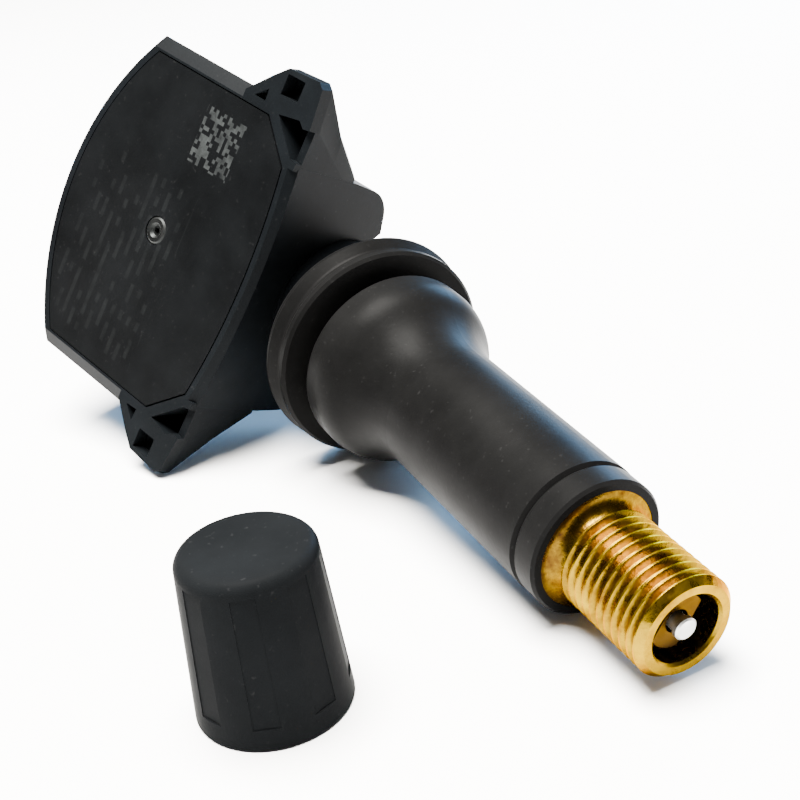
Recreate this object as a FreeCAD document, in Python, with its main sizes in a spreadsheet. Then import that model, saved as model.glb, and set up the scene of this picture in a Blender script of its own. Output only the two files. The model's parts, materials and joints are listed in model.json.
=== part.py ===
import FreeCAD, Part
import math
import os

import Sketcher
from FreeCAD import Placement, Rotation, Vector

# Snap-in tyre pressure sensor: a rubber valve with a brass stem, a plastic sensor housing
# screwed to its inner end, and a loose valve cap standing beside it.
# The sensor lies as it comes to rest: on the flange's rim, on the rubber lip and on one ear.
# Frame: +Z up, +Y from the valve's mouth towards the housing, origin under the middle of the box.

doc = FreeCAD.newDocument("TyrePressureSensor")
sheet = doc.addObject("Spreadsheet::Sheet", "Sizes")

# Driving sizes in millimetres and degrees.
CELLS = [
    # valve stem, heights measured from the flange's inner face towards the mouth
    ("stem_length", 44.4),
    ("flange_radius", 9.6),
    ("flange_front_radius", 9.32),
    ("flange_waist_radius", 9.1),
    ("flange_rim_height", 1.0),
    ("flange_thickness", 3.4),
    ("groove_radius", 5.9),
    ("groove_top", 4.9),
    ("bulb_radius", 8.0),
    ("bulb_top", 6.6),
    ("cone_top", 14.2),
    ("barrel_radius", 5.42),
    ("lip_height", 32.3),
    ("rubber_top", 34.75),
    ("lip_radius", 5.36),
    ("lip_edge", 0.25),
    ("shank_radius", 3.4),
    ("foot_radius", 5.2),
    ("foot_height", 1.4),
    ("collar_radius", 4.62),
    ("thread_radius", 3.85),
    ("thread_root_radius", 3.42),
    ("thread_pitch", 0.794),
    ("thread_start", 34.85),
    ("thread_end", 43.9),
    ("mouth_radius", 3.4),
    ("mouth_bore_radius", 2.79),
    ("core_bore_radius", 2.62),
    ("core_chamber_radius", 2.05),
    ("air_radius", 1.25),
    ("screw_bore_radius", 1.75),
    # valve core
    ("nut_radius", 2.55),
    ("nut_bottom", 38.6),
    ("nut_top", 41.4),
    ("bridge_top", 43.3),
    ("bridge_width", 2.3),
    ("pin_radius", 0.65),
    ("pin_head_radius", 0.83),
    ("pin_top", 44.3),
    ("barrel_tube_radius", 1.8),
    ("barrel_tube_bore", 1.3),
    ("barrel_tube_bottom", 31.0),
    ("core_slide_gap", 0.06),
    ("spring_wire_radius", 0.13),
    ("spring_mid_radius", 0.97),
    ("spring_pitch", 0.75),
    # screw behind the housing's boss
    ("screw_radius", 1.72),
    ("screw_root_radius", 1.5),
    ("screw_head_radius", 2.9),
    ("screw_head_height", 2.4),
    ("screw_air_radius", 0.6),
    ("washer_radius", 3.2),
    ("washer_thickness", 0.5),
    # sensor housing, in its own frame: x across, y away from the valve, z out of the lid face
    ("face_tilt", 18.2),
    ("arc_centre", 8.4),
    ("arc_radius", 24.9),
    ("half_width", 15.5),
    ("arc_radius_back", 23.6),
    ("half_width_back", 12.0),
    ("corner_across", 11.0),
    ("corner_low", 8.0),
    ("corner_high", 11.3),
    ("lid_bow", 61.0),
    ("wall_across", 11.4),
    ("wall_front", 7.3),
    ("wall_bow", 81.6),
    ("wall_back", 9.3),
    ("face_height", 8.9),
    ("edge_height", 8.3),
    ("edge_bevel", 1.2),
    ("back_height", -0.6),
    ("wall", 1.2),
    ("floor_height", 0.7),
    ("lid_thickness", 1.2),
    ("lid_gap", 0.12),
    ("lid_rim", 0.2),
    ("ear_width", 18.6),
    ("ear_flank", 7.7),
    ("ear_knee", 4.5),
    ("ear_foot", 0.9),
    ("window_inner", 16.05),
    ("window_outer", 17.85),
    ("window_low", 9.8),
    ("window_high", 11.9),
    ("window_depth", 1.4),
    ("wall_lip_depth", 0.8),
    ("foot_back", 12.5),
    ("foot_drop", -5.0),
    ("foot_width", 11.35),
    ("pocket_depth", 3.6),
    ("neck_radius", 6.6),
    ("neck_length", 8.4),
    ("boss_gap", 0.3),
    ("boss_thickness", 4.2),
    ("screw_clearance_radius", 1.9),
    ("driver_radius", 3.45),
    ("vent_across", 0),
    ("vent_along", 19.4),
    # electronics
    ("battery_radius", 8.0),
    ("battery_thickness", 3.2),
    ("battery_bottom", 0.95),
    ("battery_centre", 19.6),
    ("board_bottom", 5.0),
    ("board_thickness", 1.0),
    # cap
    ("cap_height", 12.2),
    ("cap_top_radius", 4.66),
    ("cap_bottom_radius", 5.4),
    ("cap_bore_radius", 3.95),
    ("cap_crest_radius", 3.55),
    ("cap_bore_depth", 10.0),
    ("cap_thread_depth", 8.4),
    ("cap_seal_thickness", 0.9),
    ("flute_depth", 0.12),
    ("flute_low", 1.65),
    ("flute_high", 11.15),
    ("flute_angle", 20),
    ("flute_count", 8),
    ("cap_across", -22.71),
    ("cap_along", 15.1),
    ("cap_turn", 19),
    # resting pose
    ("roll", 57.63),
    ("centre_across", 0),
    ("centre_along", 0),
]


class Size:
    """A length that knows its value and the sheet expression that gives it."""

    def __init__(self, value, text):
        self.value = float(value)
        self.text = text

    def __add__(self, other):
        other = as_size(other)
        return Size(self.value + other.value, f"({self.text} + {other.text})")

    def __sub__(self, other):
        other = as_size(other)
        return Size(self.value - other.value, f"({self.text} - {other.text})")

    def __mul__(self, factor):
        return Size(self.value * factor, f"({self.text} * {factor})")

    def __neg__(self):
        return Size(-self.value, f"(0 - {self.text})")

    def __radd__(self, other):
        return as_size(other) + self

    def __rsub__(self, other):
        return as_size(other) - self


def as_size(number):
    if isinstance(number, Size):
        return number
    return Size(number, f"({number})")


for row, (alias, number) in enumerate(CELLS, start=1):
    sheet.set(f"A{row}", alias)
    sheet.set(f"B{row}", str(number))
    sheet.setAlias(f"B{row}", alias)
doc.recompute()

S = {alias: Size(number, f"Sizes.{alias}") for alias, number in CELLS}

PARTS = []


def bind(thing, prop, size):
    """Give one property its value from the sheet."""
    thing.setExpression(prop, as_size(size).text)


def keep(thing, label):
    thing.Label = label
    PARTS.append(thing)
    return thing


# ---------------------------------------------------------------- sketch helpers

def new_body(label):
    body = doc.addObject("PartDesign::Body", "Body_" + label)
    return body


def origin_plane(body, role):
    for feature in body.Origin.OriginFeatures:
        if feature.Role == role:
            return feature
    raise ValueError("no origin plane " + role)


def new_sketch(body, name, role="XY_Plane", offset=None):
    sketch = body.newObject("Sketcher::SketchObject", name)
    sketch.AttachmentSupport = [(origin_plane(body, role), "")]
    sketch.MapMode = "FlatFace"
    if offset is not None:
        sketch.AttachmentOffset = offset
    return sketch


def pin_point(sketch, edge, end, x, y):
    """Hold one end of an edge at a place given by two sizes."""
    for kind, size in (("DistanceX", x), ("DistanceY", y)):
        number = sketch.addConstraint(Sketcher.Constraint(kind, -1, 1, edge, end, size.value))
        sketch.setExpression(f"Constraints[{number}]", size.text)


def arc_between(start, end, radius):
    """Arc from start to end; a positive radius keeps the centre on the left of the way."""
    half = (end - start) * 0.5
    reach = math.sqrt(radius * radius - half.Length ** 2)
    left = Vector(-half.y, half.x, 0).normalize()
    centre = start + half + left * math.copysign(reach, radius)
    circle = Part.Circle(centre, Vector(0, 0, 1), abs(radius))
    first, last = (start, end) if radius > 0 else (end, start)
    angles = [math.atan2(spot.y - centre.y, spot.x - centre.x) for spot in (first, last)]
    if angles[1] < angles[0]:
        angles[1] += 2 * math.pi
    return Part.ArcOfCircle(circle, angles[0], angles[1])


def outline(sketch, points):
    """Closed outline. A point is (x, y), or (x, y, radius) where an arc leaves it."""
    corners = [(as_size(p[0]), as_size(p[1]), p[2] if len(p) > 2 else None) for p in points]
    count = len(corners)
    edges = []
    for index in range(count):
        x0, y0, radius = corners[index]
        x1, y1, _ = corners[(index + 1) % count]
        start = Vector(x0.value, y0.value, 0)
        end = Vector(x1.value, y1.value, 0)
        if radius is None:
            edge = sketch.addGeometry(Part.LineSegment(start, end))
            edges.append((edge, 1, 2))
            continue
        size = as_size(radius)
        edge = sketch.addGeometry(arc_between(start, end, size.value))
        edges.append((edge, 1, 2) if size.value > 0 else (edge, 2, 1))
        number = sketch.addConstraint(Sketcher.Constraint("Radius", edge, abs(size.value)))
        if isinstance(radius, Size):
            text = size.text if size.value > 0 else (-size).text
            sketch.setExpression(f"Constraints[{number}]", text)
    for index in range(count):
        edge, _, end = edges[index]
        following, start, _ = edges[(index + 1) % count]
        sketch.addConstraint(Sketcher.Constraint("Coincident", edge, end, following, start))
    for index in range(count):
        edge, start, _ = edges[index]
        pin_point(sketch, edge, start, corners[index][0], corners[index][1])
    return sketch


def ring(sketch, x, y, radius):
    """Circle at a place given by two sizes."""
    x, y, radius = as_size(x), as_size(y), as_size(radius)
    centre = Vector(x.value, y.value, 0)
    edge = sketch.addGeometry(Part.Circle(centre, Vector(0, 0, 1), radius.value))
    pin_point(sketch, edge, 3, x, y)
    number = sketch.addConstraint(Sketcher.Constraint("Radius", edge, radius.value))
    sketch.setExpression(f"Constraints[{number}]", radius.text)
    return sketch


def turned(label, points, body=None, name="Turned"):
    """Round piece turned about its own Z axis from an outline of (radius, height)."""
    body = body or new_body(label)
    sketch = new_sketch(body, f"{label}_{name}_outline", "XZ_Plane")
    outline(sketch, points)
    turn = body.newObject("PartDesign::Revolution", f"{label}_{name}")
    turn.Profile = sketch
    turn.ReferenceAxis = (sketch, ["V_Axis"])
    turn.Angle = 360
    return body


def pad(body, sketch, name, length, reverse=False, both=False):
    feature = body.newObject("PartDesign::Pad", name)
    feature.Profile = sketch
    bind(feature, "Length", length)
    feature.Reversed = reverse
    feature.Midplane = both
    return feature


def pocket(body, sketch, name, depth, reverse=False):
    doc.recompute()
    before = body.Shape.Volume
    feature = body.newObject("PartDesign::Pocket", name)
    feature.Profile = sketch
    bind(feature, "Length", depth)
    feature.Reversed = reverse
    doc.recompute()
    if not body.Shape.Volume < before - 1e-4:
        raise RuntimeError(name + " removed nothing")
    return feature


def loft(body, kind, name, sections, ruled=True):
    feature = body.newObject("PartDesign::" + kind, name)
    feature.Profile = sections[0]
    feature.Sections = sections[1:]
    feature.Ruled = ruled
    return feature


def at_height(size):
    """Sketch offset straight up from the plane."""
    return Placement(Vector(0, 0, as_size(size).value), Rotation())


def raised_sketch(body, name, height):
    sketch = new_sketch(body, name, "XY_Plane", at_height(height))
    bind(sketch, "AttachmentOffset.Base.z", height)
    return sketch


def box(label, low, size):
    """Plain block from its low corner and its three sizes."""
    block = doc.addObject("Part::Box", "Box_" + label)
    for prop, value in zip(("Length", "Width", "Height"), size):
        bind(block, prop, value)
    for prop, value in zip(("x", "y", "z"), low):
        bind(block, "Placement.Base." + prop, value)
    return block


def cylinder(label, radius, height, x=0, y=0, z=0):
    rod = doc.addObject("Part::Cylinder", "Rod_" + label)
    bind(rod, "Radius", radius)
    bind(rod, "Height", height)
    for prop, value in zip(("x", "y", "z"), (x, y, z)):
        bind(rod, "Placement.Base." + prop, value)
    return rod


def joined(label, shapes):
    feature = doc.addObject("Part::MultiFuse", "Fuse_" + label)
    feature.Shapes = shapes
    return feature


def cut(label, base, tool):
    feature = doc.addObject("Part::Cut", "Cut_" + label)
    feature.Base = base
    feature.Tool = tool
    return feature


def ridges(low, high, pitch, crest, root, flat=0.3):
    """Points (radius, height) of a ridged wall from low to high, crest first."""
    count = int(round((high.value - low.value) / pitch.value))
    points = []
    for index in range(count):
        foot = low + pitch * index
        points.append((crest, foot + pitch * flat))
        points.append((root, foot + pitch * (0.5 + flat / 3)))
        points.append((root, foot + pitch * (0.5 + flat)))
        points.append((crest, foot + pitch))
    return points


# ---------------------------------------------------------------- rubber valve and its stem

def make_rubber_stem():
    points = [
        (S["foot_radius"], 0),
        (S["flange_radius"] - 0.4, 0),
        (S["flange_radius"], S["flange_rim_height"] - 0.25),
        (S["flange_radius"], S["flange_rim_height"]),
        (S["flange_waist_radius"], 1.75, -0.5),
        (S["flange_waist_radius"], 2.3),
        (S["flange_front_radius"], 2.65),
        (S["flange_front_radius"], S["flange_thickness"] - 0.25),
        (S["flange_front_radius"] - 0.25, S["flange_thickness"]),
        (S["groove_radius"] + 0.3, S["flange_thickness"], -0.3),
        (S["groove_radius"], S["flange_thickness"] + 0.3),
        (S["groove_radius"], S["groove_top"] - 0.2),
        (S["groove_radius"] + 0.2, S["groove_top"]),
        (S["bulb_radius"] - 0.4, S["groove_top"], 0.4),
        (S["bulb_radius"], S["groove_top"] + 0.4),
        (S["bulb_radius"], S["bulb_top"], 3.9),
        (S["bulb_radius"] - 0.806, S["bulb_top"] + 2.374, -8.585),
        (S["barrel_radius"], S["cone_top"]),
        (S["barrel_radius"], S["lip_height"] - 0.25),
        (S["barrel_radius"] - 0.3, S["lip_height"]),
        (S["lip_radius"], S["lip_height"] + 0.3),
        (S["lip_radius"], S["rubber_top"] - S["lip_edge"]),
        (S["lip_radius"] - 0.2, S["rubber_top"]),
        (S["collar_radius"], S["rubber_top"]),
        (S["collar_radius"], S["rubber_top"] - 0.65),
        (S["shank_radius"], S["rubber_top"] - 1.5),
        (S["shank_radius"], S["foot_height"]),
        (S["foot_radius"], S["foot_height"]),
    ]
    return keep(turned("rubber_stem", points), "rubber_stem")


def make_brass_stem():
    collar_low = S["rubber_top"] - 0.65
    outside = [
        (S["screw_bore_radius"] + 0.3, -S["boss_gap"]),
        (S["foot_radius"], -S["boss_gap"]),
        (S["foot_radius"], S["foot_height"]),
        (S["shank_radius"], S["foot_height"]),
        (S["shank_radius"], S["rubber_top"] - 1.5),
        (S["collar_radius"], collar_low),
        (S["collar_radius"], S["rubber_top"] - 0.05, -1.2),
        (S["thread_root_radius"] + 0.05, S["thread_start"] + 0.75),
    ]
    low = S["thread_start"] + S["thread_pitch"]
    turns = 10
    thread = []
    for index in range(turns):
        foot = low + S["thread_pitch"] * index
        thread.append((S["thread_root_radius"], foot + S["thread_pitch"] * 0.06))
        thread.append((S["thread_radius"], foot + S["thread_pitch"] * 0.40))
        thread.append((S["thread_radius"], foot + S["thread_pitch"] * 0.58))
        thread.append((S["thread_root_radius"], foot + S["thread_pitch"] * 0.92))
    last = low + S["thread_pitch"] * turns
    tip = [
        (S["thread_root_radius"], last),
        (S["thread_radius"], last + 0.22),
        (S["thread_radius"], S["thread_end"]),
        (S["mouth_radius"], S["stem_length"]),
    ]
    inside = [
        (S["mouth_bore_radius"], S["stem_length"]),
        (S["core_bore_radius"], S["stem_length"] - 0.2),
        (S["core_bore_radius"], 36.6),
        (S["core_chamber_radius"], 34.4),
        (S["core_chamber_radius"], 27.0),
        (S["air_radius"], 26.0),
        (S["air_radius"], 10.4),
        (S["screw_bore_radius"], 9.8),
        (S["screw_bore_radius"], 0),
    ]
    return keep(turned("brass_stem", outside + thread + tip + inside), "brass_stem")


def make_core():
    hole = S["pin_radius"] + S["core_slide_gap"]
    barrel_top = S["nut_bottom"]
    nut = turned("core_nut", [
        (hole, S["nut_bottom"]),
        (S["nut_radius"] - 0.3, S["nut_bottom"]),
        (S["nut_radius"], S["nut_bottom"] + 0.3),
        (S["nut_radius"], S["nut_top"] - 0.3),
        (S["nut_radius"] - 0.3, S["nut_top"]),
        (S["nut_radius"] - 0.3, S["bridge_top"] - 0.2),
        (S["nut_radius"] - 0.5, S["bridge_top"]),
        (S["pin_head_radius"] + S["core_slide_gap"], S["bridge_top"]),
        (S["pin_head_radius"] + S["core_slide_gap"], S["bridge_top"] - 1.3),
        (hole, S["bridge_top"] - 1.5),
    ])
    doc.recompute()
    sides = raised_sketch(nut, "core_nut_side_cuts", S["nut_top"])
    near = S["bridge_width"] * 0.5
    outline(sides, [(-3.0, near), (3.0, near), (3.0, 3.0), (-3.0, 3.0)])
    outline(sides, [(-3.0, -3.0), (3.0, -3.0), (3.0, -near), (-3.0, -near)])
    pocket(nut, sides, "core_nut_bridge", 2.5, reverse=True)
    keep(nut, "core_nut")

    wall = S["barrel_tube_radius"]
    bore = S["barrel_tube_bore"]
    low = S["barrel_tube_bottom"]
    barrel = turned("core_barrel", [
        (hole, low),
        (wall - 0.25, low),
        (wall, low + 0.25),
        (wall, 34.3),
        (wall - 0.25, 34.5),
        (wall - 0.25, 36.1),
        (wall, 36.3),
        (wall, barrel_top),
        (bore, barrel_top),
        (bore, low + 0.6),
        (hole, low + 0.6),
    ])
    keep(barrel, "core_barrel")

    seal = turned("core_barrel_seal", [
        (wall - 0.25, 34.5),
        (wall + 0.2, 34.5),
        (wall + 0.6, 35.9),
        (wall + 0.5, 36.1),
        (wall - 0.25, 36.1),
    ])
    keep(seal, "core_barrel_seal")

    pin = turned("core_pin", [
        (0, 29.4),
        (S["pin_radius"], 29.4),
        (S["pin_radius"], 37.1),
        (bore - 0.1, 37.1),
        (bore - 0.1, 37.6),
        (S["pin_radius"], 37.6),
        (S["pin_radius"], S["pin_top"] - 0.55),
        (S["pin_head_radius"], S["pin_top"] - 0.45),
        (S["pin_head_radius"], S["pin_top"] - 0.1),
        (S["pin_head_radius"] - 0.12, S["pin_top"]),
        (0, S["pin_top"]),
    ])
    keep(pin, "core_pin")

    cup = turned("core_cup", [
        (S["pin_radius"], 29.6),
        (1.3, 29.6),
        (1.6, 29.9),
        (1.6, 30.9),
        (1.35, 30.9),
        (1.35, 30.2),
        (S["pin_radius"], 30.2),
    ])
    keep(cup, "core_cup")

    cup_seal = turned("core_cup_seal", [
        (S["pin_radius"], 30.2),
        (1.35, 30.2),
        (1.35, 30.85),
        (1.15, low),
        (S["pin_radius"], low),
    ])
    keep(cup_seal, "core_cup_seal")

    rise = 37.05 - (low.value + 0.65)
    wire = S["spring_wire_radius"].value
    middle = S["spring_mid_radius"].value
    path = Part.makeHelix(S["spring_pitch"].value, rise - 2 * wire, middle)
    section = Part.Wire(Part.makeCircle(wire, Vector(middle, 0, 0), Vector(0, 1, 0.12)))
    coil = Part.Wire(path.Edges).makePipeShell([section], True, True)
    spring = doc.addObject("Part::Feature", "core_spring_coil")
    spring.Shape = Part.Solid(coil.Shells[0]) if coil.ShapeType != "Solid" else coil
    spring.Placement = Placement(Vector(0, 0, low.value + 0.65 + wire), Rotation())
    keep(spring, "core_spring")
    return PARTS[-7:]


def make_screw():
    seat = -S["boss_gap"] - S["boss_thickness"]
    washer = turned("stem_washer", [
        (S["screw_radius"] + 0.1, seat - S["washer_thickness"]),
        (S["washer_radius"], seat - S["washer_thickness"]),
        (S["washer_radius"], seat),
        (S["screw_radius"] + 0.1, seat),
    ])
    keep(washer, "stem_washer")
    under = seat - S["washer_thickness"]
    top = under - S["screw_head_height"]
    thread = []
    for index in range(11):
        foot = S["boss_gap"] + 0.6 * index
        thread.append((S["screw_root_radius"], foot + 0.1))
        thread.append((S["screw_radius"], foot + 0.28))
        thread.append((S["screw_radius"], foot + 0.38))
        thread.append((S["screw_root_radius"], foot + 0.56))
    screw = turned("stem_screw", [
        (S["screw_air_radius"], top),
        (S["screw_head_radius"] - 0.5, top),
        (S["screw_head_radius"], top + 0.6),
        (S["screw_head_radius"], under),
        (S["screw_radius"], under),
        (S["screw_radius"], 0),
        (S["screw_root_radius"], 0.2),
    ] + thread + [
        (S["screw_root_radius"], 7.4),
        (S["screw_root_radius"] - 0.4, 7.8),
        (S["screw_air_radius"], 7.8),
    ])
    doc.recompute()
    hub = raised_sketch(screw, "stem_screw_socket_hub", top)
    ring(hub, 0, 0, 1.25)
    pocket(screw, hub, "stem_screw_socket", 1.3, reverse=True)
    lobe = raised_sketch(screw, "stem_screw_lobe_circle", top)
    ring(lobe, 1.25, 0, 0.36)
    first = pocket(screw, lobe, "stem_screw_lobe", 1.3, reverse=True)
    lobes = screw.newObject("PartDesign::PolarPattern", "stem_screw_lobes")
    lobes.Originals = [first]
    lobes.Axis = (lobe, ["N_Axis"])
    lobes.Angle = 360
    lobes.Occurrences = 6
    screw.Tip = lobes
    keep(screw, "stem_screw")
    return [washer, screw]


# ---------------------------------------------------------------- sensor housing

def arc_corner(side, radius):
    """Height at which the far arc of a given radius meets a straight flank."""
    reach = math.sqrt(radius.value ** 2 - side.value ** 2)
    return Size(S["arc_centre"].value + reach,
                f"({S['arc_centre'].text} + sqrt({radius.text} * {radius.text}"
                f" - {side.text} * {side.text}))")


def fan(side, radius, across, low, high, bow):
    """Fan outline: bowed valve side, corners cut off, straight flanks, arc on the far side."""
    corner = arc_corner(side, radius)
    return [
        (-across, low, bow),
        (across, low),
        (side, high),
        (side, corner, radius),
        (-side, corner),
        (-side, high),
    ]


def lid_shape(inset):
    """Outline of the lid's seat, drawn in by a further inset."""
    side = S["half_width"] - S["edge_bevel"] - S["lid_rim"] - inset
    radius = S["arc_radius"] - S["wall"] - inset
    return fan(side, radius, S["corner_across"] - 0.2 - inset, S["corner_low"] + 0.5 + inset,
               S["corner_high"] + 0.9 + inset, S["lid_bow"])


def make_housing():
    body = new_body("housing_shell")
    front = raised_sketch(body, "shell_front", S["face_height"])
    outline(front, fan(S["half_width"] - S["edge_bevel"], S["arc_radius"] - 0.5,
                       S["corner_across"], S["corner_low"], S["corner_high"], S["lid_bow"]))
    edge = raised_sketch(body, "shell_edge", S["edge_height"])
    outline(edge, fan(S["half_width"], S["arc_radius"],
                      S["wall_across"], S["wall_front"], S["corner_high"] + 0.5, S["wall_bow"]))
    back = raised_sketch(body, "shell_back", S["back_height"])
    outline(back, fan(S["half_width_back"], S["arc_radius_back"], S["half_width_back"] - 2.5,
                      S["wall_back"], S["wall_back"] + 2.5, S["wall_bow"]))
    loft(body, "AdditiveLoft", "shell_outside", [back, edge, front])
    doc.recompute()

    def ear(side):
        """One ear: a flat tab with a web that leans in towards the housing's back."""
        def level(name, height, points):
            section = raised_sketch(body, f"ear_{word}_{name}", height)
            return outline(section, [(as_size(x) * side, y) for x, y in points])
        word = "right" if side > 0 else "left"
        wide = S["ear_width"]
        low = S["wall_front"]
        whole = [(11.0, low), (14.6, low), (wide - 0.4, low + 0.5), (wide + 0.05, low + 1.1),
                 (wide - 0.15, 12.1), (wide - 1.3, 13.5), (15.2, 15.8), (11.0, 15.8)]
        top = level("face", S["face_height"], [(x if number in (0, 7) else as_size(x) - 0.2, y)
                                               for number, (x, y) in enumerate(whole)])
        tab = level("flank", S["ear_flank"], whole)
        knee = level("knee", S["ear_knee"],
                     [(11.0, low), (12.6, low), (14.5, low + 0.1), (14.9, low + 0.5),
                      (14.8, 11.5), (14.4, 12.6), (13.0, 14.6), (11.0, 14.6)])
        foot = level("foot", S["ear_foot"],
                     [(9.0, low), (10.5, low), (11.7, low + 0.1), (12.0, low + 0.4),
                      (11.9, 11.2), (11.7, 12.2), (11.2, 13.6), (9.0, 13.6)])
        loft(body, "AdditiveLoft", f"ear_{word}", [foot, knee, tab, top])
        doc.recompute()

    ear(1)
    ear(-1)

    # foot under the valve-side wall, drawn as seen from the valve
    foot = new_sketch(body, "foot_face", "XZ_Plane",
                      Placement(Vector(0, 0, -S["wall_front"].value + 1.0), Rotation()))
    drop = S["foot_drop"]
    wide = S["foot_width"]
    right = [(wide, S["edge_height"] - 0.02), (wide, 0.3), (wide - 0.2, drop + 2.9, -2.6),
             (wide - 2.1, drop + 0.4), (7.6, drop), (6.1, drop + 1.7)]
    left = [(-as_size(spot[0]), spot[1]) for spot in reversed(right)]
    left[2] = (left[2][0], left[2][1], -2.6)
    outline(foot, right + left)
    pad(body, foot, "foot_block", S["foot_back"] - S["wall_front"] + 1.0, reverse=True)
    doc.recompute()
    trim = raised_sketch(body, "wall_trim_outline", S["face_height"] + 1)
    across_wall = S["wall_across"]
    outline(trim, [(-across_wall, S["wall_front"], S["wall_bow"]), (across_wall, S["wall_front"]),
                   (across_wall, 5.0), (-across_wall, 5.0)])
    pocket(body, trim, "wall_trim", 20.0)
    tilt = Rotation(Vector(1, 0, 0), -S["face_tilt"].value)

    def across(name, along):
        """Sketch square to the valve's axis, a distance behind the flange."""
        normal_shift = tilt.multVec(Vector(0, 0, -as_size(along).value))
        place = Placement(normal_shift, tilt)
        return new_sketch(body, name, "XZ_Plane", place)

    nose = across("neck_circle", S["boss_gap"])
    ring(nose, 0, 0, S["neck_radius"])
    pad(body, nose, "neck", S["neck_length"], reverse=True)
    doc.recompute()

    seat_floor = S["face_height"] - S["lid_thickness"]
    wall = S["wall"]
    inner_front = raised_sketch(body, "cavity_front", seat_floor + 0.2)
    outline(inner_front, lid_shape(as_size(0.5)))
    inner_back = raised_sketch(body, "cavity_back", S["floor_height"])
    inner_side = S["half_width_back"] - wall
    outline(inner_back, fan(inner_side, S["arc_radius_back"] - wall, inner_side - 2.3,
                            S["wall_back"] + 1.0, S["wall_back"] + 3.3, S["lid_bow"]))
    loft(body, "SubtractiveLoft", "shell_cavity", [inner_back, inner_front])
    doc.recompute()
    lid_seat = raised_sketch(body, "lid_seat_outline", S["face_height"] + 0.1)
    outline(lid_seat, lid_shape(as_size(0)))
    pocket(body, lid_seat, "lid_seat", S["lid_thickness"] + 0.1)

    windows = raised_sketch(body, "ear_windows_outline", S["face_height"] + 0.1)
    for side in (1, -1):
        outline(windows, [
            (S["window_inner"] * side, S["window_low"]),
            (S["window_outer"] * side, S["window_low"]),
            (S["window_outer"] * side, S["window_high"]),
            (S["window_inner"] * side, S["window_high"]),
        ])
    pocket(body, windows, "ear_windows", S["window_depth"] + 0.1)
    gaps = raised_sketch(body, "ear_gaps_outline", S["face_height"] + 0.1)
    for side in (1, -1):
        large = [(11.7, 8.05), (14.4, 8.1), (14.9, 8.8), (14.5, 11.2)]
        small = [(14.85, 13.2), (16.0, 13.3), (14.95, 14.6)]
        outline(gaps, [(as_size(x) * side, y) for x, y in large])
        outline(gaps, [(as_size(x) * side, y) for x, y in small])
    pocket(body, gaps, "ear_gaps", S["pocket_depth"])
    lips = raised_sketch(body, "wall_lips_outline", S["face_height"] + 0.1)
    for side in (1, -1):
        lip = [(11.6, 7.0), (14.6, 7.0), (14.4, 8.15), (11.8, 8.15)]
        outline(lips, [(as_size(x) * side, y) for x, y in lip])
    pocket(body, lips, "wall_lips", S["wall_lip_depth"])

    hole = across("screw_hole_circle", -0.5)
    ring(hole, 0, 0, S["screw_clearance_radius"])
    pocket(body, hole, "screw_hole", 6.0)
    seat = across("driver_way_circle", S["boss_gap"] + S["boss_thickness"])
    ring(seat, 0, 0, S["driver_radius"])
    pocket(body, seat, "driver_way", 30.0)
    return keep(body, "housing_shell")


def make_lid():
    body = new_body("housing_lid")
    plate = raised_sketch(body, "lid_outline", S["face_height"] - S["lid_thickness"])
    outline(plate, lid_shape(S["lid_gap"]))
    pad(body, plate, "lid_plate", S["lid_thickness"])
    doc.recompute()
    vent = raised_sketch(body, "lid_vent_circle", S["face_height"] + 0.1)
    ring(vent, S["vent_across"], S["vent_along"], 1.3)
    pocket(body, vent, "lid_vent", 4.0)
    return keep(body, "housing_lid")


def make_vent():
    insert = turned("vent_insert", [
        (0.3, 0),
        (1.25, 0),
        (1.25, 1.1),
        (1.05, 1.22),
        (0.7, 1.22),
        (0.45, 1.0),
        (0.3, 1.0),
    ])
    keep(insert, "vent_insert")
    gasket = turned("port_gasket", [
        (0.35, 0),
        (1.2, 0),
        (1.2, 0.35),
        (0.35, 0.35),
    ])
    keep(gasket, "port_gasket")
    return [insert, gasket]


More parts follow.
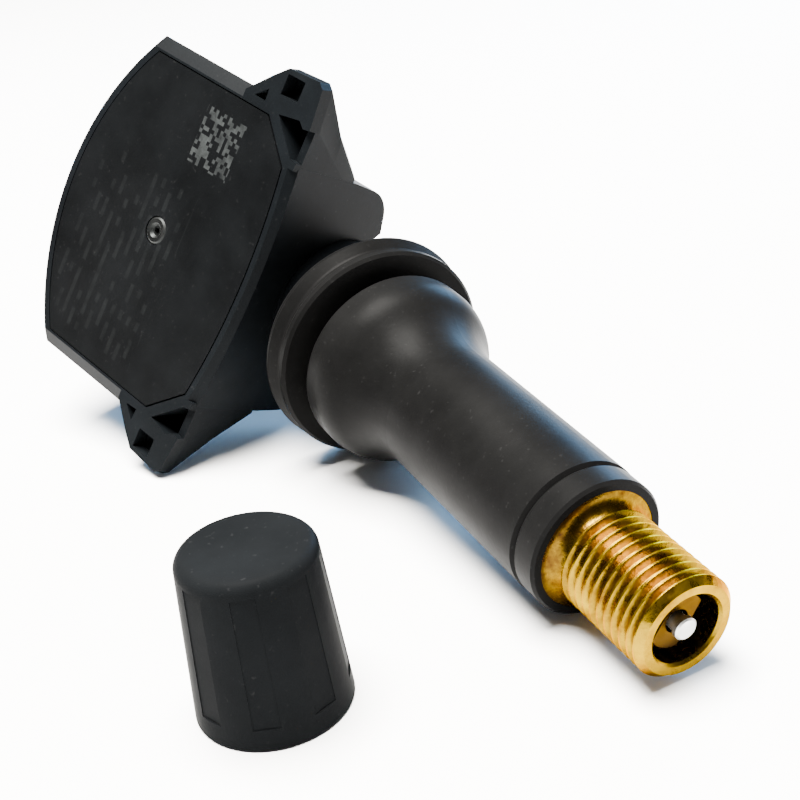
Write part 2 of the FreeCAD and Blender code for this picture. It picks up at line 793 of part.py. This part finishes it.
def make_electronics():
    made = []
    middle = S["battery_centre"]
    cell_low = S["battery_bottom"]
    cell_top = cell_low + S["battery_thickness"]
    base = cylinder("cell_can", S["battery_radius"], S["battery_thickness"] - 0.5, 0, middle, cell_low)
    step = cylinder("cell_cap", S["battery_radius"] - 1.0, 0.5, 0, middle, cell_top - 0.5)
    made.append(keep(joined("battery_cell", [base, step]), "battery_cell"))

    board_low = S["board_bottom"]
    board_top = board_low + S["board_thickness"]
    body = new_body("circuit_board")
    panel = raised_sketch(body, "board_outline", board_low)
    outline(panel, [
        (-9.4, 10.8),
        (9.4, 10.8),
        (11.2, 12.8),
        (11.2, 28.3, 22.8),
        (-11.2, 28.3),
        (-11.2, 12.8),
    ])
    pad(body, panel, "board_panel", S["board_thickness"])
    made.append(keep(body, "circuit_board"))

    top_pad = box("tab_top_pad", (-1.5, middle - 2.5, cell_top), (3.0, 5.0, 0.2))
    top_leg = box("tab_top_leg", (-1.5, middle + 2.5, cell_top), (3.0, 7.0, 0.2))
    top_post = box("tab_top_post", (-1.5, middle + 9.3, cell_top + 0.2), (3.0, 0.2, 0.65))
    made.append(keep(joined("battery_tab_top", [top_pad, top_leg, top_post]), "battery_tab_top"))
    low_pad = box("tab_low_pad", (-1.5, middle - 2.5, cell_low - 0.2), (3.0, 5.0, 0.2))
    low_leg = box("tab_low_leg", (-1.5, middle - 8.6, cell_low - 0.2), (3.0, 6.1, 0.2))
    low_post = box("tab_low_post", (-1.5, middle - 8.6, cell_low), (3.0, 0.2, 4.05))
    made.append(keep(joined("battery_tab_bottom", [low_pad, low_leg, low_post]), "battery_tab_bottom"))

    sensor_low = (-2.0, 17.4, board_top)
    chip = box("sensor_chip", sensor_low, (4.0, 4.0, 1.3))
    port = cylinder("sensor_port", 0.3, 1.0, S["vent_across"], S["vent_along"], board_top + 0.4)
    made.append(keep(cut("pressure_chip", chip, port), "pressure_chip"))
    made.append(keep(box("controller", (4.0, 16.5, board_top), (5.0, 5.0, 0.9)), "controller_chip"))
    made.append(keep(box("crystal", (5.0, 23.5, board_top), (3.2, 2.5, 0.8)), "crystal_can"))
    chips = [box(f"chip_cap_{place}", (-9.0 + 1.8 * place, 23.0, board_top), (1.0, 1.9, 0.6))
             for place in range(4)]
    made.append(keep(joined("chip_capacitors", chips), "chip_capacitors"))
    core = box("coil_ferrite", (-9.5, 13.0, board_top + 0.1), (7.0, 1.1, 1.1))
    ends = [box("coil_end_left", (-9.9, 12.6, board_top), (0.9, 1.9, 1.3)),
            box("coil_end_right", (-3.0, 12.6, board_top), (0.9, 1.9, 1.3))]
    made.append(keep(joined("coil_core", [core] + ends), "coil_core"))
    around = box("coil_wrap", (-8.8, 12.8, board_top + 0.02), (5.6, 1.5, 1.26))
    inside = box("coil_hollow", (-9.5, 13.0, board_top + 0.1), (7.0, 1.1, 1.1))
    made.append(keep(cut("coil_winding", around, inside), "coil_winding"))
    legs = [box("antenna_leg_left", (2.0, 12.0, board_top), (0.6, 0.6, 1.0)),
            box("antenna_leg_right", (9.6, 12.0, board_top), (0.6, 0.6, 1.0)),
            box("antenna_span", (2.0, 12.0, board_top + 1.0), (8.2, 0.6, 0.4))]
    made.append(keep(joined("antenna_bow", legs), "antenna_bow"))

    resin = new_body("resin")
    block = raised_sketch(resin, "resin_outline", S["floor_height"])
    outline(block, [
        (-7.9, 10.9),
        (7.9, 10.9),
        (10.5, 13.6),
        (10.5, 28.0, 21.8),
        (-10.5, 28.0),
        (-10.5, 13.6),
    ])
    pad(resin, block, "resin_block", 3.4)
    cell_room = joined("resin_room", [
        cylinder("resin_cell_room", S["battery_radius"] + 0.1, 4.0, 0, middle, cell_low - 0.01),
        box("resin_tab_room", (-1.7, middle - 8.9, S["floor_height"] - 0.01), (3.4, 11.6, 4.2)),
        box("resin_tab_top_room", (-1.7, middle + 2.0, cell_top - 0.1), (3.4, 8.4, 2.0)),
    ])
    made.append(keep(cut("potting_block", resin, cell_room), "potting_block"))
    return made


# ---------------------------------------------------------------- cap

def make_cap():
    top = S["cap_height"]
    slope = (S["cap_bottom_radius"].value - S["cap_top_radius"].value) / S["cap_height"].value
    roof = S["cap_bore_depth"]
    thread = ridges(as_size(1.2), as_size(1.2) + S["thread_pitch"] * 9, S["thread_pitch"],
                    S["cap_crest_radius"], S["cap_bore_radius"])
    points = [
        (S["cap_bore_radius"] + 0.35, 0),
        (S["cap_bottom_radius"] - 0.15, 0),
        (S["cap_bottom_radius"], 0.15),
        (S["cap_top_radius"] + 0.05, top - 0.85, 0.85),
        (S["cap_top_radius"] - 0.7, top - 0.04),
        (S["cap_top_radius"] - 1.0, top),
        (0, top),
        (0, roof),
        (S["cap_bore_radius"], roof),
        (S["cap_bore_radius"], thread[-1][1] + 0.4),
    ]
    points += list(reversed(thread))
    points.append((S["cap_bore_radius"], 0.9))
    cap = turned("cap_shell", points)
    doc.recompute()
    half = math.radians(S["flute_angle"].value / 2)

    def flute_section(name, height):
        """Flat-bottomed notch in the cap's side at one height."""
        floor = S["cap_bottom_radius"].value - height.value * slope - S["flute_depth"].value
        reach = floor * math.tan(half)
        section = raised_sketch(cap, name, height)
        outline(section, [(floor, -reach), (floor + 1.5, -reach), (floor + 1.5, reach), (floor, reach)])
        return section

    flute = flute_section("flute_foot", S["flute_low"])
    flute_top = flute_section("flute_head", S["flute_high"])
    first = loft(cap, "SubtractiveLoft", "flute", [flute, flute_top])
    doc.recompute()
    flutes = cap.newObject("PartDesign::PolarPattern", "flutes")
    flutes.Originals = [first]
    flutes.Axis = (flute, ["N_Axis"])
    flutes.Angle = 360
    bind(flutes, "Occurrences", S["flute_count"])
    cap.Tip = flutes
    keep(cap, "cap_shell")
    seal = turned("cap_seal", [
        (0.9, S["cap_bore_depth"] - S["cap_seal_thickness"]),
        (S["cap_bore_radius"] - 0.1, S["cap_bore_depth"] - S["cap_seal_thickness"]),
        (S["cap_bore_radius"] - 0.1, S["cap_bore_depth"]),
        (0.9, S["cap_bore_depth"]),
    ])
    keep(seal, "cap_seal")
    return [cap, seal]


# ---------------------------------------------------------------- build and place

stem_parts = [make_rubber_stem(), make_brass_stem()] + make_core() + make_screw()
shell_parts = [make_housing(), make_lid()] + make_electronics()
vent_parts = make_vent()
cap_parts = make_cap()
doc.recompute()

# The stem touches the ground at the flange's rim and at the outer edge of the rubber lip.
rim_height = S["flange_rim_height"].value
span = S["rubber_top"].value - S["lip_edge"].value - rim_height
drop = S["flange_radius"].value - S["lip_radius"].value
rise = math.degrees(math.atan(drop / span))
lean = Rotation(Vector(1, 0, 0), rise) * Rotation(Vector(0, 1, 0), -S["roll"].value)
flange_height = (S["flange_radius"].value * math.cos(math.radians(rise))
                 + rim_height * math.sin(math.radians(rise)))
flange_along = S["stem_length"].value * math.cos(math.radians(rise))


def settle():
    """Give every part its placement, around the middle of the whole box."""
    shift = Vector(S["centre_across"].value, S["centre_along"].value, 0)
    pose = Placement(Vector(0, flange_along, flange_height) - shift, lean)
    stem_pose = pose * Placement(Vector(), Rotation(Vector(1, 0, 0), 90))
    shell_pose = pose * Placement(Vector(), Rotation(Vector(1, 0, 0), S["face_tilt"].value))
    for thing in stem_parts:
        thing.Placement = stem_pose * rest[thing.Name]
    for thing in shell_parts:
        thing.Placement = shell_pose * rest[thing.Name]
    insert, gasket = vent_parts
    face = S["face_height"].value - S["lid_thickness"].value
    vent = Vector(S["vent_across"].value, S["vent_along"].value, face)
    insert.Placement = shell_pose * Placement(vent, Rotation())
    gasket.Placement = shell_pose * Placement(vent - Vector(0, 0, 0.38), Rotation())
    cap_place = Placement(Vector(S["cap_across"].value, S["cap_along"].value, 0) - shift,
                          Rotation(Vector(0, 0, 1), S["cap_turn"].value))
    for thing in cap_parts:
        thing.Placement = cap_place
    doc.recompute()


rest = {}
for thing in stem_parts + shell_parts:
    rest[thing.Name] = thing.Placement.copy()
    if thing.TypeId == "Part::Box":
        for axis in ("x", "y", "z"):
            thing.setExpression("Placement.Base." + axis, None)

settle()
whole = FreeCAD.BoundBox()
for thing in PARTS:
    whole.add(thing.Shape.optimalBoundingBox(False))
for alias, number in (("centre_across", whole.Center.x), ("centre_along", whole.Center.y)):
    sheet.set(sheet.getCellFromAlias(alias), f"{number:.4f}")
    S[alias] = Size(number, f"Sizes.{alias}")
settle()

faults = [thing.Name for thing in doc.Objects if {"Invalid", "Error"} & set(thing.State)]
faults += [thing.Label for thing in PARTS if thing.Shape.isNull() or not thing.Shape.isValid()]
if faults:
    raise RuntimeError("failed features: " + ", ".join(faults))

os.makedirs("parts", exist_ok=True)
for thing in PARTS:
    thing.Shape.exportStep(f"parts/{thing.Label}.step")
    bounds = thing.Shape.optimalBoundingBox(False)
    print(f"{thing.Label:20s} volume {thing.Shape.Volume:9.2f}  solids {len(thing.Shape.Solids)}"
          f"  z {bounds.ZMin:7.2f} {bounds.ZMax:7.2f}")
print("whole box", whole)
print("stem pose", stem_parts[0].Placement.toMatrix())
print("housing pose", shell_parts[0].Placement.toMatrix())
print("cap pose", cap_parts[0].Placement.toMatrix())
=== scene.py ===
import json
import math

import bmesh
import bpy
from mathutils import Matrix, Vector

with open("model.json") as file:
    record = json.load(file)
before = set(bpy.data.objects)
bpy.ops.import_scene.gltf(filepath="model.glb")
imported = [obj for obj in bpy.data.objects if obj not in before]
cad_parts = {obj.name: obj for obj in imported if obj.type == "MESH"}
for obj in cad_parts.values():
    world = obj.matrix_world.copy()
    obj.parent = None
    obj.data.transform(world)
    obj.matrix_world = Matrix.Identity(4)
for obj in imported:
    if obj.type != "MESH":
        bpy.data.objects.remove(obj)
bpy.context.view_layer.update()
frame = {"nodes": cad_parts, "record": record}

# Camera: where it stands and which way it looks, in metres and degrees.
CAMERA_PLACE = (-0.034586, -0.094879, 0.057706)
CAMERA_TURN = 24.414
CAMERA_DOWN = 26.102
CAMERA_ROLL = -8.015
CAMERA_LENS = 62.566
CAMERA_FILM = 36.0
CAMERA_NEAR = 0.005
CAMERA_FAR = 10.0

# Lights: where each stands, its side and its power in metres and watts, and its colour.
LIGHT_TARGET_HEIGHT = 0.01
KEY_PLACE = (-0.03, 0.05, 0.60)
KEY_SIDE = 0.36
KEY_POWER = 62.0
KEY_COLOUR = (1.0, 0.97, 0.92)
RIM_PLACE = (0.32, 0.19, 0.11)
RIM_SIDE = 0.14
RIM_POWER = 3.2
RIM_COLOUR = (0.30, 0.60, 1.0)
RIM_TARGET_ACROSS = 0.01
ROOM_COLOUR = (0.97, 0.98, 1.0, 1.0)
ROOM_STRENGTH = 0.2
FLOOR_HALF = 1.2

# Pose of the housing's lid face, in degrees and metres.
VALVE_RISE = 7.213
ROLL = 57.63
FACE_TILT = 18.2
GROOVE_FROM_FLANGE = 0.00415

# Pale marks on the lid, in metres across it and away from the valve.
SQUARE_PLACE = (0.0096, 0.0165)
SQUARE_HALF = 0.0026
SQUARE_CELL = 0.00036
SQUARE_STRENGTH = 0.3
ROWS_PLACE = (-0.004, 0.0228)
ROWS_HALF = (0.0085, 0.0068)
ROW_PITCH = 0.0012
ROW_FILLED = 0.4
DASH_LENGTH = 0.0009
ROWS_STRENGTH = 0.035
MARK_SHARE = 0.5
MARK_COLOUR = (0.06, 0.066, 0.066, 1.0)
DUST_COLOUR = (0.12, 0.12, 0.12, 1.0)

# Brown film on the brass: where it is full and where it ends, measured back from the thread's middle.
FILM_FULL = 0.0040
FILM_GONE = 0.0024
FILM_COLOUR = (0.022, 0.009, 0.003, 1.0)


# ------------------------------------------------------------------ shader helpers

class Shader:
    """One node material, built step by step."""

    def __init__(self, name):
        self.material = bpy.data.materials.new(name)
        self.material.use_nodes = True
        self.tree = self.material.node_tree
        self.tree.nodes.clear()
        self.output = self.add("ShaderNodeOutputMaterial")
        self.surface = self.add("ShaderNodeBsdfPrincipled")
        self.link(self.surface, "BSDF", self.output, "Surface")
        self.place = self.add("ShaderNodeTexCoord")

    def add(self, kind, **settings):
        node = self.tree.nodes.new(kind)
        for key, value in settings.items():
            setattr(node, key, value)
        return node

    def link(self, source, out, target, into):
        self.tree.links.new(source.outputs[out], target.inputs[into])

    def set(self, **values):
        """Constant values on the surface shader's own sockets."""
        for name, value in values.items():
            self.surface.inputs[name.replace("_", " ")].default_value = value

    def noise(self, scale, detail=4.0, roughness=0.55, stretch=(1, 1, 1)):
        """Noise over the piece, finer for a larger scale."""
        mapping = self.add("ShaderNodeMapping")
        mapping.inputs["Scale"].default_value = stretch
        self.link(self.place, "Object", mapping, "Vector")
        node = self.add("ShaderNodeTexNoise")
        node.inputs["Scale"].default_value = scale
        node.inputs["Detail"].default_value = detail
        node.inputs["Roughness"].default_value = roughness
        self.link(mapping, "Vector", node, "Vector")
        return node

    def ramp(self, source, out, stops):
        """Turn a value into colours, given as pairs of place and colour."""
        node = self.add("ShaderNodeValToRGB")
        line = node.color_ramp
        while len(line.elements) < len(stops):
            line.elements.new(0.5)
        for element, (place, colour) in zip(line.elements, stops):
            element.position = place
            element.color = (*colour, 1.0)
        self.link(source, out, node, "Fac")
        return node

    def spread(self, source, out, low, high, into=(0.3, 0.7)):
        """Map a noise value onto a span of plain numbers."""
        node = self.add("ShaderNodeMapRange")
        node.inputs["From Min"].default_value = into[0]
        node.inputs["From Max"].default_value = into[1]
        node.inputs["To Min"].default_value = low
        node.inputs["To Max"].default_value = high
        self.link(source, out, node, "Value")
        return node

    def maths(self, operation, first, second=None):
        """One sum on two values, each a number or a socket; gives the result's socket."""
        node = self.add("ShaderNodeMath", operation=operation)
        for place, value in enumerate((first, second)):
            if value is None:
                continue
            if isinstance(value, (int, float)):
                node.inputs[place].default_value = value
            else:
                self.tree.links.new(value, node.inputs[place])
        return node.outputs["Value"]

    def blend(self, factor, first, second):
        """Mix a colour socket with a plain colour."""
        node = self.add("ShaderNodeMix", data_type="RGBA")
        self.tree.links.new(factor, node.inputs[0])
        self.tree.links.new(first, node.inputs[6])
        node.inputs[7].default_value = second
        return node.outputs[2]

    def bump(self, source, out, strength, distance, base=None):
        """Relief from a value, laid over another relief if one is given."""
        node = self.add("ShaderNodeBump")
        node.inputs["Strength"].default_value = strength
        node.inputs["Distance"].default_value = distance
        self.link(source, out, node, "Height")
        if base is not None:
            self.link(base, "Normal", node, "Normal")
        return node


def grey(level, warmth=0.0):
    """A grey, a little warmer or cooler."""
    return (level * (1 + warmth), level, level * (1 - warmth))


def moulded(name, dark, light, rough, grain=900.0, grain_depth=0.00002, coat=0.0, warmth=0.0,
            specular=0.08, dust=0.03, prints=None):
    """Moulded plastic or rubber: uneven tone, fine grain, soft wear and a little dust."""
    shader = Shader(name)
    clouds = shader.noise(140.0, 5.0, 0.6)
    tone = shader.ramp(clouds, "Fac", [(0.3, grey(dark, warmth)), (0.72, grey(light, warmth))])
    specks = shader.noise(2600.0, 2.0, 0.5)
    specks_on = shader.ramp(specks, "Fac", [(0.66, (0, 0, 0)), (0.78, (1, 1, 1))])
    amount = shader.maths("MULTIPLY", specks_on.outputs["Color"], dust)
    colour = shader.blend(amount, tone.outputs["Color"], DUST_COLOUR)
    if prints is not None:
        colour = prints(shader, colour)
    shader.tree.links.new(colour, shader.surface.inputs["Base Color"])
    smear = shader.noise(60.0, 6.0, 0.65)
    roughness = shader.spread(smear, "Fac", rough - 0.07, rough + 0.09)
    shader.link(roughness, "Result", shader.surface, "Roughness")
    fine = shader.noise(grain * 3.0, 3.0, 0.6)
    coarse = shader.noise(grain, 3.0, 0.5)
    first = shader.bump(coarse, "Fac", 0.22, grain_depth)
    second = shader.bump(fine, "Fac", 0.28, grain_depth, first)
    shader.link(second, "Normal", shader.surface, "Normal")
    shader.set(Specular_IOR_Level=specular, Coat_Weight=coat, Coat_Roughness=0.25)
    return shader.material


def face_pose():
    """Where the lid face sits: X across it, Y away from the valve, Z out of it."""
    groove = next(m for m in frame["record"]["mounts"] if m["name"] == "rim_groove")
    centre = Vector(groove["pos_m"]) - Vector(groove["axis"]) * GROOVE_FROM_FLANGE
    turn = (Matrix.Rotation(math.radians(VALVE_RISE), 4, "X")
            @ Matrix.Rotation(math.radians(-ROLL), 4, "Y")
            @ Matrix.Rotation(math.radians(FACE_TILT), 4, "X"))
    return Matrix.Translation(centre) @ turn


def lid_prints(shader, colour):
    """Pale laser marks on the lid: one square of scattered cells and a few broken rows."""
    inverse = face_pose().inverted()
    face = shader.add("ShaderNodeMapping")
    face.inputs["Rotation"].default_value = inverse.to_euler()
    face.inputs["Location"].default_value = inverse.to_translation()
    shader.link(shader.place, "Object", face, "Vector")
    axes = shader.add("ShaderNodeSeparateXYZ")
    shader.link(face, "Vector", axes, "Vector")
    across, along = axes.outputs["X"], axes.outputs["Y"]

    def within(value, middle, half):
        away = shader.maths("ABSOLUTE", shader.maths("SUBTRACT", value, middle))
        return shader.maths("LESS_THAN", away, half)

    def cells(pitch_x, pitch_y):
        """A random number for each cell of a grid on the face."""
        joined = shader.add("ShaderNodeCombineXYZ")
        for axis, value, pitch in (("X", across, pitch_x), ("Y", along, pitch_y)):
            step = shader.maths("FLOOR", shader.maths("DIVIDE", value, pitch))
            shader.tree.links.new(step, joined.inputs[axis])
        scatter = shader.add("ShaderNodeTexWhiteNoise", noise_dimensions="3D")
        shader.link(joined, "Vector", scatter, "Vector")
        return scatter.outputs["Value"]

    square = shader.maths("MULTIPLY", within(across, SQUARE_PLACE[0], SQUARE_HALF),
                          within(along, SQUARE_PLACE[1], SQUARE_HALF))
    dots = shader.maths("GREATER_THAN", cells(SQUARE_CELL, SQUARE_CELL), MARK_SHARE)
    patch = shader.maths("MULTIPLY", square, dots)
    rows = shader.maths("MULTIPLY", within(across, ROWS_PLACE[0], ROWS_HALF[0]),
                        within(along, ROWS_PLACE[1], ROWS_HALF[1]))
    place_in_row = shader.maths("FRACT", shader.maths("DIVIDE", along, ROW_PITCH))
    stripe = shader.maths("LESS_THAN", place_in_row, ROW_FILLED)
    broken = shader.maths("GREATER_THAN", cells(DASH_LENGTH, ROW_PITCH), MARK_SHARE)
    lines = shader.maths("MULTIPLY", shader.maths("MULTIPLY", rows, stripe), broken)
    worn = shader.spread(shader.noise(700.0, 4.0, 0.7), "Fac", 0.1, 1.0).outputs["Result"]
    strength = shader.maths("MAXIMUM", shader.maths("MULTIPLY", patch, SQUARE_STRENGTH),
                            shader.maths("MULTIPLY", lines, ROWS_STRENGTH))
    return shader.blend(shader.maths("MULTIPLY", strength, worn), colour, MARK_COLOUR)


def collar_film(shader, colour):
    """Brown film on the brass next to the rubber, with a broken edge."""
    thread = next(m for m in frame["record"]["mounts"] if m["name"] == "stem_thread")
    outward = Vector(thread["axis"])
    middle = outward.dot(Vector(thread["pos_m"]))
    along = shader.add("ShaderNodeVectorMath", operation="DOT_PRODUCT")
    along.inputs[1].default_value = outward
    shader.link(shader.place, "Object", along, 0)
    near = shader.spread(along, "Value", 1.0, 0.0, (middle - FILM_FULL, middle - FILM_GONE))
    flakes = shader.spread(shader.noise(900.0, 4.0, 0.7), "Fac", 0.45, 1.0)
    amount = shader.maths("MULTIPLY", near.outputs["Result"], flakes.outputs["Result"])
    return shader.blend(amount, colour, FILM_COLOUR)


def metal(name, low, high, rough, grain=1500.0, depth=0.00001, stretch=(1, 1, 1), tarnish=None,
          edge=(1.0, 1.0, 1.0), film=None):
    """Machined or plated metal: tone drift, fine tool marks, duller patches."""
    shader = Shader(name)
    clouds = shader.noise(420.0, 5.0, 0.65)
    stops = [(0.3, low), (0.7, high)]
    if tarnish is not None:
        stops = [(0.30, tarnish), (0.46, low), (0.68, high)]
    tone = shader.ramp(clouds, "Fac", stops)
    colour = tone.outputs["Color"]
    if film is not None:
        colour = film(shader, colour)
    shader.tree.links.new(colour, shader.surface.inputs["Base Color"])
    patch = shader.noise(900.0, 4.0, 0.6)
    roughness = shader.spread(patch, "Fac", max(rough - 0.08, 0.03), rough + 0.14)
    shader.link(roughness, "Result", shader.surface, "Roughness")
    marks = shader.noise(grain, 3.0, 0.6, stretch)
    pits = shader.noise(grain * 2.5, 2.0, 0.5)
    first = shader.bump(marks, "Fac", 0.35, depth)
    second = shader.bump(pits, "Fac", 0.25, depth, first)
    shader.link(second, "Normal", shader.surface, "Normal")
    shader.set(Metallic=1.0, Specular_Tint=(*edge, 1.0))
    return shader.material


def board_green():
    """Circuit board: green solder mask with faint darker tracks."""
    shader = Shader("board_green")
    tracks = shader.noise(900.0, 2.0, 0.4, stretch=(1.0, 0.2, 1.0))
    tone = shader.ramp(tracks, "Fac", [(0.42, (0.002, 0.03, 0.012)), (0.56, (0.008, 0.075, 0.03))])
    shader.link(tone, "Color", shader.surface, "Base Color")
    rough = shader.spread(shader.noise(300.0), "Fac", 0.25, 0.45)
    shader.link(rough, "Result", shader.surface, "Roughness")
    relief = shader.bump(tracks, "Fac", 0.3, 0.00002)
    shader.link(relief, "Normal", shader.surface, "Normal")
    shader.set(Specular_IOR_Level=0.3)
    return shader.material


MATERIALS = {
    "shell_plastic": moulded("shell_plastic", 0.0018, 0.0034, 0.42, grain=1400.0, warmth=-0.18,
                             specular=0.02),
    "lid_plastic": moulded("lid_plastic", 0.0012, 0.0029, 0.40, grain=1900.0, warmth=-0.10,
                           grain_depth=0.00001, specular=0.02, prints=lid_prints),
    "stem_rubber": moulded("stem_rubber", 0.0020, 0.0040, 0.38, grain=900.0,
                           grain_depth=0.00003, specular=0.010),
    "cap_plastic": moulded("cap_plastic", 0.0030, 0.0045, 0.46, grain=1700.0, warmth=-0.10,
                           grain_depth=0.00003, dust=0.03, specular=0.003),
    "seal_rubber": moulded("seal_rubber", 0.003, 0.006, 0.6),
    "seal_ring": moulded("seal_ring", 0.45, 0.6, 0.5, specular=0.4),
    "chip_plastic": moulded("chip_plastic", 0.006, 0.012, 0.5),
    "chip_ceramic": moulded("chip_ceramic", 0.2, 0.3, 0.5, warmth=0.3, specular=0.4),
    "ferrite": moulded("ferrite", 0.03, 0.05, 0.6),
    "potting_resin": moulded("potting_resin", 0.006, 0.012, 0.25, coat=0.3),
    "board_green": board_green(),
    "port_metal": metal("port_metal", (0.006, 0.007, 0.007), (0.02, 0.021, 0.021), 0.45),
    "stem_brass": metal("stem_brass", (0.14, 0.082, 0.002), (0.20, 0.126, 0.002), 0.27, depth=0.00006,
                        tarnish=(0.06, 0.027, 0.002), edge=(1.0, 0.58, 0.02), film=collar_film),
    "core_brass": metal("core_brass", (0.025, 0.012, 0.003), (0.055, 0.029, 0.007), 0.32,
                        edge=(1.0, 0.7, 0.3)),
    "pin_metal": metal("pin_metal", (0.34, 0.34, 0.33), (0.5, 0.5, 0.49), 0.4),
    "screw_steel": metal("screw_steel", (0.25, 0.25, 0.26), (0.4, 0.4, 0.42), 0.3),
    "spring_steel": metal("spring_steel", (0.3, 0.3, 0.3), (0.42, 0.42, 0.42), 0.25),
    "cell_steel": metal("cell_steel", (0.4, 0.4, 0.42), (0.55, 0.55, 0.57), 0.25),
    "tab_steel": metal("tab_steel", (0.42, 0.4, 0.34), (0.55, 0.53, 0.46), 0.25),
    "can_steel": metal("can_steel", (0.4, 0.4, 0.4), (0.55, 0.55, 0.55), 0.25),
    "copper_wire": metal("copper_wire", (0.4, 0.14, 0.05), (0.55, 0.22, 0.1), 0.3),
}


def dress(piece, slot):
    """Give a piece its slot's material and no other."""
    piece.data.materials.clear()
    piece.data.materials.append(MATERIALS[slot])


slot_of = {entry["node"]: entry["material_slot"] for entry in frame["record"]["subparts"]}
for node, piece in frame["nodes"].items():
    dress(piece, slot_of[node])


# ------------------------------------------------------------------ camera, floor and light

def make_camera():
    data = bpy.data.cameras.new("camera")
    data.lens = CAMERA_LENS
    data.sensor_width = CAMERA_FILM
    data.clip_start = CAMERA_NEAR
    data.clip_end = CAMERA_FAR
    eye = bpy.data.objects.new("camera", data)
    bpy.context.scene.collection.objects.link(eye)
    turn = Matrix.Rotation(math.radians(-CAMERA_TURN), 4, "Z")
    down = Matrix.Rotation(math.radians(90.0 - CAMERA_DOWN), 4, "X")
    roll = Matrix.Rotation(math.radians(CAMERA_ROLL), 4, "Z")
    eye.matrix_world = Matrix.Translation(CAMERA_PLACE) @ turn @ down @ roll
    bpy.context.scene.camera = eye


def make_floor():
    mesh = bpy.data.meshes.new("floor")
    grid = bmesh.new()
    bmesh.ops.create_grid(grid, x_segments=2, y_segments=2, size=FLOOR_HALF)
    grid.to_mesh(mesh)
    grid.free()
    floor = bpy.data.objects.new("floor", mesh)
    bpy.context.scene.collection.objects.link(floor)
    shader = Shader("floor_paper")
    clouds = shader.noise(8.0, 3.0, 0.5)
    tone = shader.ramp(clouds, "Fac", [(0.3, (0.90, 0.90, 0.90)), (0.7, (0.93, 0.93, 0.93))])
    shader.link(tone, "Color", shader.surface, "Base Color")
    shader.set(Roughness=0.9, Specular_IOR_Level=0.1)
    mesh.materials.append(shader.material)


def area_light(name, place, target, size, power, colour):
    data = bpy.data.lights.new(name, "AREA")
    data.shape = "SQUARE"
    data.size = size
    data.energy = power
    data.color = colour
    lamp = bpy.data.objects.new(name, data)
    bpy.context.scene.collection.objects.link(lamp)
    lamp.location = place
    aim = Vector(target) - Vector(place)
    lamp.rotation_euler = aim.to_track_quat("-Z", "Y").to_euler()


def make_light():
    world = bpy.data.worlds.new("studio")
    world.use_nodes = True
    background = world.node_tree.nodes["Background"]
    background.inputs["Color"].default_value = ROOM_COLOUR
    background.inputs["Strength"].default_value = ROOM_STRENGTH
    bpy.context.scene.world = world
    area_light("key", KEY_PLACE, (0, 0, LIGHT_TARGET_HEIGHT), KEY_SIDE, KEY_POWER, KEY_COLOUR)
    area_light("rim", RIM_PLACE, (RIM_TARGET_ACROSS, 0, LIGHT_TARGET_HEIGHT), RIM_SIDE, RIM_POWER,
               RIM_COLOUR)


make_camera()
make_floor()
make_light()
